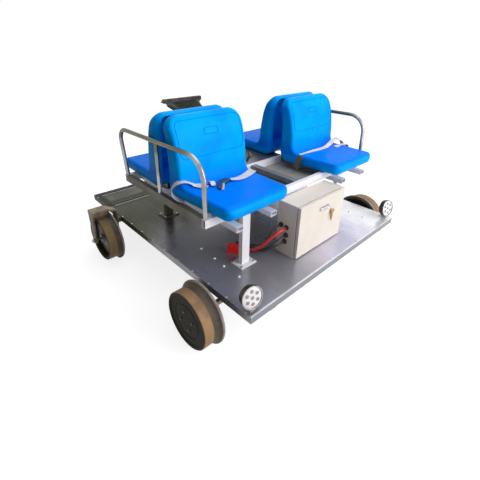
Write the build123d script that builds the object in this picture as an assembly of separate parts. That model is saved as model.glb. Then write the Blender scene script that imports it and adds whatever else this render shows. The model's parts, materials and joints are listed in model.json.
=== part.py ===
"""Electric rail trolley for four riders: a flat sheet deck on flanged wheels, with back to back seats.

Millimetres. The origin is on the floor below the middle of the deck, +X towards the cabinet and the
lamps, +Y to the left, +Z up. Heights that are given above the deck have "above deck" in their comment.
"""
from build123d import *
import os
from math import pi, radians, tan

os.makedirs("parts", exist_ok=True)

# Wheels: flange crest, tread and their places across the track of 1435
AXLE_Z = 160
FRONT_AXLE_X = 536
REAR_AXLE_X = -394
FLANGE_RADIUS = 160
TREAD_RADIUS = 142
WHEEL_BACK_Y = 686
WHEEL_WIDTH = 111
RIM_INNER_RADIUS = 127
FRONT_AXLE_RADIUS = 15
AXLE_END_GAP = 20
BEARING_RADIUS = 36
BEARING_HALF = 19
BEARING_PAD = 28
BEARING_FLANGE = 16
HUB_AXLE_RADIUS = 8
FRONT_FLANGE_BACK = 8
REAR_FLANGE_BACK = 20
MOTOR_RADIUS = 124
HANGER_INNER_Y = WHEEL_BACK_Y - 14
HANGER_OUTER_Y = WHEEL_BACK_Y + WHEEL_WIDTH + 29
HANGER_BAR = 10
HANGER_HALF = 34
HANGER_TOP = 84
HANGER_SHOULDER = 52
HANGER_SLOPE = 64

# Deck and underframe, with the deck's long edges just inside the wheels
DECK_LENGTH = 1600
DECK_SIDE_GAP = 36
DECK_WIDTH = 2 * (WHEEL_BACK_Y - DECK_SIDE_GAP)
DECK_TOP = 278
DECK_SHEET = 3
DECK_SKIRT = 36
REAR_STRIP_X = (58 - DECK_LENGTH / 2, 172 - DECK_LENGTH / 2)
REAR_STRIP_HALF = DECK_WIDTH / 2 - 50
RIB_X = REAR_STRIP_X[1] + 22
SILL_Y = 505
SILL = 40
END_MEMBER_X = DECK_LENGTH / 2 - 26
CROSS_MEMBER_X = (-END_MEMBER_X, -560, -230, 142, 440, END_MEMBER_X)
WALL = 3

# Seats, mirrored about SEAT_MIRROR_X. Outlines are (distance from the mirror line, height above deck).
SEAT_MIRROR_X = 150
SEAT_Y = 408
SEAT_HALF_REAR = 221
SEAT_TAPER = 23
SEAT_TOP = 716
SEAT_TOP_FRONT_X = 62
SEAT_TOP_REAR_X = 5
SEAT_WAIST = (139, 472)
SEAT_FACE = ((106, 645), (131, 548))
SEAT_REAR_FACE = ((43, 500), (34, 610))
SEAT_HEEL = ((96, 338), (58, 356), (42, 394))
SEAT_PAD_START = 192
SEAT_PAD_FRONT = 461
SEAT_PAD_THICK = 64
SEAT_NOSE = 34
SEAT_CORNER = 62
SEAT_TOE = 46
SEAT_PANEL_INSET = 26
SEAT_PANEL_Z = (528, 696)
SEAT_BADGE_Z = 636
SEAT_FRONT_ROUND = 18
SEAT_REAR_ROUND = 26
SEAT_WALL = 7
SEAT_SIDE_WALL = 34
SEAT_SEAM_WIDE = 4
SEAT_SEAM_DEEP = 2.6
SEAT_SLIDE = (100, 320)

# Handrails beside the seats, with bends between their posts and their nearly level top
HANDRAIL_RADIUS = 11
HANDRAIL_SEAT_GAP = 2.5
HANDRAIL_FRONT_HIGH = 602
HANDRAIL_REAR_HIGH = 590
HANDRAIL_BENDS = (105, 62)

# Seat frame of flat tubes on four posts, heights above deck
FRAME_TOP = 338
TUBE_HIGH = 40
TUBE_WIDE = 25
FRAME_FRONT_X = 517
FRAME_REAR_X = -205
MID_BAR_X = 142.5
SIDE_RAIL_Y = SEAT_Y + SEAT_HALF_REAR + HANDRAIL_SEAT_GAP + HANDRAIL_RADIUS
INNER_RAIL_Y = 274.5
POST_Y = 408
POST_PLATE = (80, 105, 6)
RUNNER_Y = (310, 530)
RUNNER_X = (-300, 600)

# Cabinet, lying on its side with the door hinged along its lower edge
CABINET_Y = 5
CABINET_WIDTH = 400
CABINET_HEIGHT = 300
CABINET_BACK_X = FRAME_FRONT_X + 16
CABINET_FRONT_X = CABINET_BACK_X + 140
DOOR_THICK = 16
DOOR_GAP = 5
CABINET_WALL = 2
CABINET_LIP = 18
CABINET_GROOVE = 1.5
HINGE_REACH = 130
DOOR_AXIS = (CABINET_FRONT_X - 5, DECK_TOP + 14)
LOCK_Z = DECK_TOP + CABINET_HEIGHT - 60

# Lamps at the deck's front corners, tilted up and turned to the right as they were set
LAMP_X = DECK_LENGTH / 2 - 42
LAMP_Y = DECK_WIDTH / 2 - 35
LAMP_HEIGHT = 66
LAMP_RADIUS = 53
LAMP_FOOT = 30
LAMP_TILT = 12
LAMP_TURN = -10

# Console at the rear. Its slope is (distance ahead of the column, height above deck).
CONSOLE_X = RIB_X + 6
CONSOLE_PLATE = 60
CONSOLE_HALF = 100
CONSOLE_BAR_HALF = 158
CONSOLE_BAR_Z = (620, 646)
CONSOLE_SLOPE = ((38, 628), (175, 570), (168, 548), (-16, 586), (-16, 628))
CONSOLE_FLARE = ((CONSOLE_HALF, 582), (CONSOLE_HALF + 13, 608), (CONSOLE_HALF + 50, 620))
CONSOLE_RIB_Y = (-72, -48, -24, 0, 24)


def box(x0, x1, y0, y1, z0, z1):
    """A block between two corners."""
    size = (abs(x1 - x0), abs(y1 - y0), abs(z1 - z0))
    middle = ((x0 + x1) / 2, (y0 + y1) / 2, (z0 + z1) / 2)
    return Pos(*middle) * Box(*size)


def tube(x0, x1, y0, y1, z0, z1, along, wall=2):
    """A rectangular tube, open at both ends of the axis that it runs along."""
    shrink = {"x": (0, wall, wall), "y": (wall, 0, wall), "z": (wall, wall, 0)}[along]
    sx, sy, sz = shrink
    grow = {"x": (1, 0, 0), "y": (0, 1, 0), "z": (0, 0, 1)}[along]
    gx, gy, gz = grow
    hole = box(x0 + sx - gx, x1 - sx + gx, y0 + sy - gy, y1 - sy + gy, z0 + sz - gz, z1 - sz + gz)
    return box(x0, x1, y0, y1, z0, z1) - hole


def rod(radius, start, end):
    """A round bar from one point to another."""
    line = Line(start, end)
    return sweep(Plane(origin=line @ 0, z_dir=line % 0) * Circle(radius), path=line)


def mirror_y(part):
    return mirror(part, Plane.XZ)


def above(height):
    """Height above the deck, as a height above the floor."""
    return DECK_TOP + height


def save(name, *solids):
    """Writes one piece, or like pieces that share a file."""
    flat = []
    for item in solids:
        flat += list(item.solids())
    shape = flat[0] if len(flat) == 1 else Compound(children=flat)
    shape.label = name
    export_step(shape, f"parts/{name}.step")
    print(name, len(flat), round(sum(s.volume for s in flat) / 1000), "cm3")


# Deck: a folded tray, with an opening for the recessed strip at the rear and a raised seam beside it
half_l = DECK_LENGTH / 2
half_w = DECK_WIDTH / 2
sheet_under = DECK_TOP - DECK_SHEET
deck = box(-half_l, half_l, -half_w, half_w, DECK_TOP - DECK_SKIRT, DECK_TOP)
deck = deck - box(-half_l + WALL, half_l - WALL, -half_w + WALL, half_w - WALL,
                  DECK_TOP - DECK_SKIRT - 1, sheet_under)
deck = deck - box(*REAR_STRIP_X, -REAR_STRIP_HALF, REAR_STRIP_HALF, sheet_under - 1, DECK_TOP + 1)
deck = deck + box(RIB_X - 6, RIB_X + 6, -half_w, half_w, DECK_TOP - 1, DECK_TOP + 2.5)
plate_hole = CONSOLE_PLATE + 1
deck = deck - box(CONSOLE_X - plate_hole, CONSOLE_X + plate_hole, -plate_hole, plate_hole,
                  DECK_TOP, DECK_TOP + 3)
save("deck_plate", deck)

strip = box(REAR_STRIP_X[0] + 1, REAR_STRIP_X[1] - 1, -REAR_STRIP_HALF + 1, REAR_STRIP_HALF - 1,
            sheet_under, sheet_under + 1.5)
save("rear_strip_panel", strip)

# Underframe: two sills with cross members between them, all box tube below the sheet
sill = tube(-half_l + WALL, half_l - WALL, SILL_Y - SILL / 2, SILL_Y + SILL / 2,
            sheet_under - SILL, sheet_under, "x", WALL)
save("sills", sill, mirror_y(sill))
cross_members = [tube(x - SILL / 2, x + SILL / 2, -SILL_Y + SILL / 2, SILL_Y - SILL / 2,
                      sheet_under - SILL, sheet_under, "y", WALL) for x in CROSS_MEMBER_X]
save("cross_members", *cross_members)


def wheel_ring_outline(flange_back, bore):
    """Tyre of a rail wheel: flange, fillet and tread, as (distance from the track's inner face, radius)."""
    points = [(flange_back, bore), (flange_back, FLANGE_RADIUS - 8),
              (flange_back + 3, FLANGE_RADIUS - 2),
              (flange_back + 8, FLANGE_RADIUS), (flange_back + 13, FLANGE_RADIUS),
              (27, FLANGE_RADIUS - 9), (35, TREAD_RADIUS + 3), (50, TREAD_RADIUS),
              (WHEEL_WIDTH - 4, TREAD_RADIUS), (WHEEL_WIDTH, TREAD_RADIUS - 4),
              (WHEEL_WIDTH, RIM_INNER_RADIUS + 2)]
    return points


def turned(outline, axle_x, back_y):
    """Revolves a closed outline of (across, radius) about an axle, across being measured from back_y."""
    face = make_face(Plane.YZ * Pos(back_y, 0) * Polyline(*outline, outline[0]))
    return Pos(axle_x, 0, AXLE_Z) * revolve(face, axis=Axis.Y)


# Front wheel: a nearly flush outer disc with a ring groove, on a hub whose bore is closed outside
hub_length = WHEEL_WIDTH - AXLE_END_GAP
disc_out = WHEEL_WIDTH - 6
disc_in = WHEEL_WIDTH - 22
front_web = [(disc_out, RIM_INNER_RADIUS - 3), (disc_out, 93), (disc_out - 3, 91), (disc_out - 3, 83),
             (disc_out, 81), (disc_out, 0), (hub_length, 0), (hub_length, FRONT_AXLE_RADIUS),
             (14, FRONT_AXLE_RADIUS), (14, 44), (disc_in - 8, 50), (disc_in, 60), (disc_in, 112),
             (disc_in - 18, RIM_INNER_RADIUS)]
front_ring = wheel_ring_outline(FRONT_FLANGE_BACK, RIM_INNER_RADIUS)
front_wheel = turned(front_ring + front_web, FRONT_AXLE_X, WHEEL_BACK_Y)
save("front_wheel_left", front_wheel)
save("front_wheel_right", mirror_y(front_wheel))

axle_end = WHEEL_BACK_Y + hub_length
axle = rod(FRONT_AXLE_RADIUS, (FRONT_AXLE_X, -axle_end, AXLE_Z), (FRONT_AXLE_X, axle_end, AXLE_Z))
save("front_axle", axle)

# Front bearings: pillow blocks on a packing piece under each sill
bearing_top = sheet_under - SILL
pad_low = bearing_top - BEARING_PAD
flange_low = pad_low - BEARING_FLANGE
waist = BEARING_RADIUS - 3
bearing = box(FRONT_AXLE_X - 55, FRONT_AXLE_X + 55, SILL_Y - SILL / 2, SILL_Y + SILL / 2,
              pad_low, bearing_top)
bearing = bearing + box(FRONT_AXLE_X - 78, FRONT_AXLE_X + 78, SILL_Y - SILL / 2, SILL_Y + SILL / 2,
                        flange_low, pad_low)
bearing = bearing + box(FRONT_AXLE_X - waist, FRONT_AXLE_X + waist, SILL_Y - BEARING_HALF + 2,
                        SILL_Y + BEARING_HALF - 2, AXLE_Z, flange_low + 4)
bearing = bearing + rod(BEARING_RADIUS, (FRONT_AXLE_X, SILL_Y - BEARING_HALF, AXLE_Z),
                        (FRONT_AXLE_X, SILL_Y + BEARING_HALF, AXLE_Z))
bearing = bearing - rod(FRONT_AXLE_RADIUS + 0.05, (FRONT_AXLE_X, SILL_Y - SILL, AXLE_Z),
                        (FRONT_AXLE_X, SILL_Y + SILL, AXLE_Z))
save("front_bearings", bearing, mirror_y(bearing))

# Rear wheels: the same tread with a thinner flange, round a hub motor on a standing axle
rear_tyre = wheel_ring_outline(REAR_FLANGE_BACK, MOTOR_RADIUS) + [(WHEEL_WIDTH - 15, MOTOR_RADIUS)]
rear_wheel = turned(rear_tyre, REAR_AXLE_X, WHEEL_BACK_Y)
save("rear_wheel_left", rear_wheel)
save("rear_wheel_right", mirror_y(rear_wheel))

axle_hole = HUB_AXLE_RADIUS + 0.05
motor_outline = [(36, MOTOR_RADIUS), (36, 60), (26, 40), (26, axle_hole), (100, axle_hole), (100, 26),
                 (92, 34), (84, 60), (80, MOTOR_RADIUS - 12), (76, MOTOR_RADIUS)]
motor = turned(motor_outline, REAR_AXLE_X, WHEEL_BACK_Y)
save("rear_motor_left", motor)
save("rear_motor_right", mirror_y(motor))

# Hanger over each rear wheel: one bar bent down on both sides, with a sloped inner shoulder
outer_y = HANGER_OUTER_Y
inner_y = HANGER_INNER_Y
bar = HANGER_BAR
bent = [(inner_y, AXLE_Z), (inner_y, above(HANGER_SHOULDER)), (inner_y + HANGER_SLOPE, above(HANGER_TOP)),
        (outer_y, above(HANGER_TOP)), (outer_y, AXLE_Z)]
bent_in = [(outer_y - bar, AXLE_Z), (outer_y - bar, above(HANGER_TOP) - bar - 4),
           (inner_y + HANGER_SLOPE + bar / 2, above(HANGER_TOP) - bar - 4),
           (inner_y + bar, above(HANGER_SHOULDER) - bar / 2), (inner_y + bar, AXLE_Z)]
strap_face = make_face(Plane.YZ * Polyline(*bent, *bent_in, bent[0]))
strap = Pos(REAR_AXLE_X, 0, 0) * extrude(strap_face, HANGER_HALF, both=True)
taper = make_face(Plane.XZ * Polyline((REAR_AXLE_X - HANGER_HALF, above(HANGER_TOP) + 1),
                                      (REAR_AXLE_X + HANGER_HALF, above(HANGER_TOP) + 1),
                                      (REAR_AXLE_X + 22, AXLE_Z), (REAR_AXLE_X - 22, AXLE_Z),
                                      (REAR_AXLE_X - HANGER_HALF, above(HANGER_TOP) + 1)))
hanger = strap & extrude(taper, 1000, both=True)
for y in (outer_y - bar, inner_y):
    hanger = hanger + rod(22, (REAR_AXLE_X, y, AXLE_Z), (REAR_AXLE_X, y + bar, AXLE_Z))
hanger = hanger + box(REAR_AXLE_X - 24, REAR_AXLE_X + 24, half_w, inner_y,
                      DECK_TOP - DECK_SKIRT, DECK_TOP - 4)
hanger = hanger + rod(HUB_AXLE_RADIUS, (REAR_AXLE_X, inner_y - 12, AXLE_Z),
                      (REAR_AXLE_X, outer_y + 14, AXLE_Z))
hanger = hanger + rod(13, (REAR_AXLE_X, outer_y, AXLE_Z), (REAR_AXLE_X, outer_y + 10, AXLE_Z))
save("rear_hanger_left", hanger)
save("rear_hanger_right", mirror_y(hanger))

# Seat frame
rail_low = above(FRAME_TOP - TUBE_HIGH)
rail_top = above(FRAME_TOP)
front_bar = (FRAME_FRONT_X - TUBE_WIDE, FRAME_FRONT_X)
rear_bar = (FRAME_REAR_X, FRAME_REAR_X + TUBE_WIDE)
mid_bar = (MID_BAR_X - TUBE_WIDE / 2, MID_BAR_X + TUBE_WIDE / 2)
rail_in = SIDE_RAIL_Y - TUBE_WIDE / 2
rail_out = SIDE_RAIL_Y + TUBE_WIDE / 2
side_rail = tube(rear_bar[1], front_bar[0], rail_in, rail_out, rail_low, rail_top, "x")
save("frame_side_rails", side_rail, mirror_y(side_rail))
crossbars = [tube(*front_bar, -rail_out, rail_out, rail_low, rail_top, "y"),
             tube(*mid_bar, -rail_in, rail_in, rail_low, rail_top, "y"),
             tube(*rear_bar, -rail_out, rail_out, rail_low, rail_top, "y")]
save("frame_crossbars", *crossbars)

inner_low = INNER_RAIL_Y - TUBE_WIDE / 2
inner_high = INNER_RAIL_Y + TUBE_WIDE / 2
inner_rails = []
for x0, x1 in ((rear_bar[1], mid_bar[0]), (mid_bar[1], front_bar[0])):
    inner = tube(x0, x1, inner_low, inner_high, rail_low, rail_top, "x")
    inner_rails += [inner, mirror_y(inner)]
inner_rails.append(tube(mid_bar[1], front_bar[0], -20, 20, rail_top - 25, rail_top, "x"))
save("frame_inner_rails", *inner_rails)

# Sheets in the middle bays: a recessed tray ahead of the middle bar and a flush lid behind it
save("front_bay_tray", box(mid_bar[1], front_bar[0], -inner_low, inner_low, rail_low, rail_low + 2))
save("rear_bay_lid", box(rear_bar[1], mid_bar[0], -inner_low, inner_low, rail_top - 2, rail_top))


def post(x, y):
    """Flat tube on a base plate."""
    plate_x, plate_y, plate_z = POST_PLATE
    foot = box(x - plate_x / 2, x + plate_x / 2, y - plate_y / 2, y + plate_y / 2,
               DECK_TOP, DECK_TOP + plate_z)
    return foot + tube(x - 12.5, x + 12.5, y - 25, y + 25, DECK_TOP + plate_z - 1, rail_low, "z", 2.5)


front_post_x = (front_bar[0] + front_bar[1]) / 2
rear_post_x = (rear_bar[0] + rear_bar[1]) / 2
save("front_posts", post(front_post_x, POST_Y), post(front_post_x, -POST_Y))
save("rear_posts", post(rear_post_x, POST_Y), post(rear_post_x, -POST_Y))

# Runners below the frame, which carry the seat slides
runners = []
for y in RUNNER_Y:
    runner = tube(*RUNNER_X, y - 20, y + 20, rail_low - 25, rail_low, "x")
    runners += [runner, mirror_y(runner)]
save("seat_runners", *runners)

slides = []
slide_near, slide_far = SEAT_SLIDE
for x0, x1 in ((SEAT_MIRROR_X + slide_near, SEAT_MIRROR_X + slide_far),
               (SEAT_MIRROR_X - slide_far, SEAT_MIRROR_X - slide_near)):
    for y in RUNNER_Y:
        slides.append(box(x0, x1, y - 13, y + 13, rail_low, rail_top))
save("seat_slides_left", *slides)
save("seat_slides_right", *[mirror_y(s) for s in slides])


def seat_profile():
    """Side view of one seat that faces +X, as edges in (distance from the mirror line, height above deck)."""
    pad_top = FRAME_TOP + SEAT_PAD_THICK
    nose = SEAT_NOSE
    top_front = (SEAT_TOP_FRONT_X, SEAT_TOP)
    top_rear = (SEAT_TOP_REAR_X, SEAT_TOP)
    face = Spline(top_front, *SEAT_FACE, SEAT_WAIST, tangents=((0.75, -1), (0, -1)))
    flow = Spline(SEAT_WAIST, (SEAT_PAD_START, pad_top), tangents=((0, -1), (1, 0)))
    pad = Line((SEAT_PAD_START, pad_top), (SEAT_PAD_FRONT - nose, pad_top))
    front = ThreePointArc((SEAT_PAD_FRONT - nose, pad_top),
                          (SEAT_PAD_FRONT - 0.3 * nose, pad_top - 0.3 * nose),
                          (SEAT_PAD_FRONT, pad_top - nose))
    chin = Line((SEAT_PAD_FRONT, pad_top - nose), (SEAT_PAD_FRONT - 6, FRAME_TOP))
    under = Line((SEAT_PAD_FRONT - 6, FRAME_TOP), SEAT_HEEL[0])
    heel = ThreePointArc(*SEAT_HEEL)
    rear = Spline(SEAT_HEEL[-1], *SEAT_REAR_FACE, top_rear, tangents=((0, 1), (-0.45, 1)))
    crown = Line(top_rear, top_front)
    return [face, flow, pad, front, chin, under, heel, rear, crown]


def seat_shell():
    """One moulded seat that faces +X, with its middle at y = 0: side profile, cut to the plan and rounded."""
    reach = SEAT_HALF_REAR + 20
    solid = extrude(make_face(Plane.XZ * Wire(seat_profile())), reach, both=True)
    half_front = SEAT_HALF_REAR - SEAT_TAPER
    plan = Polyline((0, -SEAT_HALF_REAR), (0, SEAT_HALF_REAR), (SEAT_PAD_FRONT, half_front),
                    (SEAT_PAD_FRONT, -half_front), (0, -SEAT_HALF_REAR))
    solid = solid & Pos(0, 0, FRAME_TOP) * extrude(make_face(plan), SEAT_TOP - FRAME_TOP)
    crown_corners = [e for e in solid.edges()
                     if e.center().Z > SEAT_TOP - 1 and abs(e.center().Y) > reach / 2]
    solid = fillet(crown_corners, SEAT_CORNER)
    toe_corners = [e for e in solid.edges() if e.center().X > SEAT_PAD_FRONT - 8
                   and abs(e.center().Y) > reach / 2 and e.geom_type == GeomType.LINE]
    solid = fillet(toe_corners, SEAT_TOE)
    rear = [e for e in solid.edges() if e.center().X < SEAT_HEEL[-1][0] + 2
            and (e.geom_type == GeomType.BSPLINE and abs(e.center().Y) > 50
                 or abs(e.center().X - SEAT_TOP_REAR_X) < 1)]
    solid = fillet(rear, SEAT_REAR_ROUND)
    front = [e for e in solid.edges() if e.center().X > SEAT_TOP_FRONT_X - 10
             and e.bounding_box().max.Z > FRAME_TOP + 8]
    solid = fillet(front, SEAT_FRONT_ROUND)
    # Seams round the inset panel and the bare badge place, cut to one depth along the curved face
    seam_plane = Plane.YZ * Pos(0, (SEAT_PANEL_Z[0] + SEAT_PANEL_Z[1]) / 2)
    panel_high = SEAT_PANEL_Z[1] - SEAT_PANEL_Z[0]
    panel_wide = 2 * (SEAT_HALF_REAR - SEAT_PANEL_INSET)
    seam = SEAT_SEAM_WIDE
    ring = seam_plane * (RectangleRounded(panel_wide, panel_high, 30)
                         - RectangleRounded(panel_wide - 2 * seam, panel_high - 2 * seam, 30 - seam))
    badge = Plane.YZ * Pos(0, SEAT_BADGE_Z) * (RectangleRounded(84, 32, 6)
                                               - RectangleRounded(84 - 2 * seam, 32 - 2 * seam, 2))
    ahead = Pos(SEAT_TOP_FRONT_X - 12, 0, 0) * extrude(ring + badge, 150)
    solid = solid - (ahead - Pos(-SEAT_SEAM_DEEP, 0, 0) * solid)
    # The back is hollow behind, up to a wall of one thickness at its face
    wall = 2 * SEAT_WALL
    waist_x, waist_z = SEAT_WAIST
    inner_face = Spline((SEAT_TOP_FRONT_X - 12 - wall, SEAT_TOP - wall),
                        *[(x - wall, z) for x, z in SEAT_FACE],
                        (waist_x - wall, waist_z), (waist_x - SEAT_WALL, waist_z - 60))
    end = inner_face @ 1
    top = inner_face @ 0
    behind = SEAT_TOP_REAR_X - 45
    side_view = [inner_face, Line((end.X, end.Y), (behind, end.Y)), Line((behind, end.Y), (behind, top.Y)),
                 Line((behind, top.Y), (top.X, top.Y))]
    half_in = SEAT_HALF_REAR - SEAT_SIDE_WALL
    rounded = RectangleRounded(2 * half_in, top.Y - end.Y, SEAT_CORNER - SEAT_SIDE_WALL)
    back_view = Plane.YZ * Pos(0, (top.Y + end.Y) / 2) * rounded
    hollow = extrude(make_face(Plane.XZ * Wire(side_view)), half_in + 10, both=True)
    solid = solid - (hollow & extrude(back_view, 2 * SEAT_WAIST[0], both=True))
    return Pos(0, 0, DECK_TOP) * solid


seat = seat_shell()
front_left = Pos(SEAT_MIRROR_X, SEAT_Y, 0) * seat
rear_left = Pos(SEAT_MIRROR_X, SEAT_Y, 0) * mirror(seat, Plane.YZ)
save("front_seat_left", front_left)
save("front_seat_right", mirror_y(front_left))
save("rear_seat_left", rear_left)
save("rear_seat_right", mirror_y(rear_left))

# Handrails with a middle post, standing on the side rails
front_foot = (FRAME_FRONT_X - 12, FRAME_TOP)
front_bend = (FRAME_FRONT_X - 19, HANDRAIL_FRONT_HIGH)
rear_bend = (FRAME_REAR_X - 31, HANDRAIL_REAR_HIGH)
rear_foot = (FRAME_REAR_X + 10, FRAME_TOP)
corners = [(x, SIDE_RAIL_Y, above(h)) for x, h in (front_foot, front_bend, rear_bend, rear_foot)]
rail_path = FilletPolyline(*corners, radius=list(HANDRAIL_BENDS))
handrail = sweep(Plane(origin=rail_path @ 0, z_dir=rail_path % 0) * Circle(HANDRAIL_RADIUS), path=rail_path)
share = (MID_BAR_X - rear_bend[0]) / (front_bend[0] - rear_bend[0])
mid_high = HANDRAIL_REAR_HIGH + share * (HANDRAIL_FRONT_HIGH - HANDRAIL_REAR_HIGH)
handrail = handrail + rod(HANDRAIL_RADIUS - 1, (MID_BAR_X, SIDE_RAIL_Y, rail_top),
                          (MID_BAR_X, SIDE_RAIL_Y, above(mid_high)))
handrail = handrail - box(FRAME_REAR_X, FRAME_FRONT_X, SIDE_RAIL_Y - TUBE_WIDE, SIDE_RAIL_Y + TUBE_WIDE,
                          rail_top - 20, rail_top)
save("handrail_left", handrail)
save("handrail_right", mirror_y(handrail))

# Cabinet: a hollow box with a lipped front, and hinge arms for the door
cab_y0 = CABINET_Y - CABINET_WIDTH / 2
cab_y1 = CABINET_Y + CABINET_WIDTH / 2
cab_top = DECK_TOP + CABINET_HEIGHT
door_back_x = CABINET_FRONT_X - DOOR_THICK
body_front_x = door_back_x - DOOR_GAP
w = CABINET_WALL
cabinet = box(CABINET_BACK_X, body_front_x, cab_y0, cab_y1, DECK_TOP, cab_top)
cabinet = cabinet - box(CABINET_BACK_X + w, body_front_x - w, cab_y0 + w, cab_y1 - w,
                        DECK_TOP + w, cab_top - w)
cabinet = cabinet - box(body_front_x - 5, body_front_x + 1, cab_y0 + CABINET_LIP, cab_y1 - CABINET_LIP,
                        DECK_TOP + CABINET_LIP + 6, cab_top - CABINET_LIP)
for x in (CABINET_BACK_X + 10, body_front_x - 12):
    band = box(x, x + CABINET_GROOVE, cab_y0 - 1, cab_y1 + 1, DECK_TOP + 1, cab_top + 1)
    core = box(x, x + CABINET_GROOVE, cab_y0 + 1, cab_y1 - 1, DECK_TOP, cab_top - 1)
    cabinet = cabinet - (band - core)
axis_x, axis_z = DOOR_AXIS
hinge_y = (CABINET_Y - HINGE_REACH, CABINET_Y + HINGE_REACH)
for y in hinge_y:
    cabinet = cabinet + box(body_front_x - 1, axis_x, y - 10, y + 10, axis_z - 2.5, axis_z + 2.5)
    cabinet = cabinet + rod(2.5, (axis_x, y - 19, axis_z), (axis_x, y + 19, axis_z))
save("cabinet_body", cabinet)

door_z0 = DECK_TOP + 8
door_z1 = cab_top - 2
door_y0 = cab_y0 + 1
door_y1 = cab_y1 - 1
door = box(door_back_x, CABINET_FRONT_X, door_y0, door_y1, door_z0, door_z1)
door = door - box(door_back_x - 1, CABINET_FRONT_X - w, door_y0 + w, door_y1 - w, door_z0 + w, door_z1 - w)
for y in hinge_y:
    door = door - box(door_back_x - 1, CABINET_FRONT_X - w, y - 15, y + 15, door_z0 - 1, door_z0 + w + 1)
    for side in (-1, 1):
        y0 = y + side * 16.5
        knuckle = box(axis_x - 4, CABINET_FRONT_X - 1, y0 - 1.5, y0 + 1.5, door_z0 + 1, axis_z + 5)
        knuckle = knuckle - rod(2.55, (axis_x, y0 - 3, axis_z), (axis_x, y0 + 3, axis_z))
        door = door + knuckle
save("cabinet_door", door)

lock_y = CABINET_Y + 7
lock_face = Plane(origin=(CABINET_FRONT_X, lock_y, LOCK_Z), x_dir=(0, 1, 0), z_dir=(1, 0, 0))
lock = extrude(lock_face * SlotOverall(86, 22), 5)
lock = lock + extrude(lock_face * Pos(18, 0) * Circle(8), 9)
save("cabinet_lock", lock)

# Cable glands in the cabinet's right side, as (x, height above deck)
GLANDS = ((560, 167), (596, 163), (597, 119), (592, 79))
glands = []
for x, h in GLANDS:
    ring = rod(13, (x, cab_y0, above(h)), (x, cab_y0 - 7, above(h)))
    glands.append(ring + rod(9, (x, cab_y0 - 7, above(h)), (x, cab_y0 - 13, above(h))))
save("cable_glands", *glands)


def lamp(y):
    """Round work lamp on a foot bracket, facing +X before it is tilted and turned."""
    z = above(LAMP_HEIGHT)
    shell = LAMP_RADIUS - 5
    body = rod(shell, (-14, 0, 0), (9, 0, 0)) + rod(0.7 * shell, (-24, 0, 0), (-14, 0, 0))
    body = body + rod(LAMP_RADIUS, (2, 0, 0), (16, 0, 0)) - rod(shell, (12, 0, 0), (20, 0, 0))
    body = Pos(LAMP_X, y, z) * Rot(0, 0, LAMP_TURN) * Rot(0, -LAMP_TILT, 0) * body
    half = LAMP_FOOT / 2
    neck = box(LAMP_X - 12, LAMP_X + 2, y - half, y + half, DECK_TOP, z - LAMP_RADIUS + 12)
    foot = box(LAMP_X - 28, LAMP_X + 18, y - half, y + half, DECK_TOP, DECK_TOP + 3)
    return body + neck + foot


save("front_lamp_left", lamp(LAMP_Y))
save("front_lamp_right", lamp(-LAMP_Y))

# Console: a sloping box that flares out to the ends of a grab bar, with grooves down its slope
side_view = [(CONSOLE_X + x, above(h)) for x, h in CONSOLE_SLOPE]
housing = extrude(make_face(Plane.XZ * Polyline(*side_view, side_view[0])), CONSOLE_BAR_HALF, both=True)
flare = [(y, above(h)) for y, h in CONSOLE_FLARE]
flare_low = (CONSOLE_HALF, above(CONSOLE_SLOPE[2][1]) - 10)
flare_top = (flare[2][0], above(CONSOLE_BAR_Z[1]))
half_view = [Line(flare_low, flare[0]), ThreePointArc(*flare), Line(flare[2], flare_top),
             Line(flare_top, (0, flare_top[1])), Line((0, flare_top[1]), (0, flare_low[1])),
             Line((0, flare_low[1]), flare_low)]
half_front = extrude(make_face(Plane.YZ * Wire(half_view)), 2 * abs(CONSOLE_X), both=True)
housing = housing & (half_front + mirror_y(half_front))
slope_top, slope_low = side_view[:2]
slope_way = Vector(slope_low[0] - slope_top[0], 0, slope_low[1] - slope_top[1])
for y in CONSOLE_RIB_Y:
    start = Plane(origin=(slope_top[0], y, slope_top[1]), x_dir=slope_way,
                  z_dir=(-slope_way.Z, 0, slope_way.X))
    housing = housing - start * Pos(slope_way.length / 2, 0, 0) * Box(slope_way.length - 30, 6, 6)
bar_x = CONSOLE_X + 14
bar_low, bar_top = [above(h) for h in CONSOLE_BAR_Z]
housing = housing + box(bar_x, bar_x + 26, -CONSOLE_BAR_HALF, CONSOLE_BAR_HALF, bar_low, bar_top)
column = tube(CONSOLE_X - 20, CONSOLE_X + 20, -20, 20, DECK_TOP + 5, bar_low, "z", 3)
column = column + box(CONSOLE_X - CONSOLE_PLATE, CONSOLE_X + CONSOLE_PLATE, -CONSOLE_PLATE, CONSOLE_PLATE,
                      DECK_TOP, DECK_TOP + 6)
column = (column - housing).solids().sort_by(SortBy.VOLUME)[-1]
save("console_column", column)
save("console_housing", housing)

# Cables from the glands to loose connectors that lie on the deck. Points are (x, y, height above deck).
CABLES = {
    "red_cable": (16, ((596, -208, 163), (596, -242, 163), (585, -276, 146), (562, -300, 108),
                       (534, -316, 66), (500, -330, 38), (462, -342, 28), (430, -366, 26))),
    "upper_black_cable": (10, ((597, -208, 119), (597, -236, 119), (582, -257, 97), (556, -270, 64),
                               (527, -277, 36), (497, -282.5, 20), (464.7, -292.9, 15))),
    "lower_black_cable": (10, ((592, -208, 79), (592, -236, 79), (578, -260, 66), (553, -276, 44),
                               (528, -288, 26), (501.5, -296.6, 17), (469.3, -307.1, 15))),
    "rear_black_cable": (10, ((560, -208, 167), (560, -238, 167), (551, -264, 144), (538, -274, 102),
                              (512, -272, 60), (476, -266, 32), (438, -268, 14), (408, -282, 9),
                              (382, -306, 9))),
}
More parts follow.
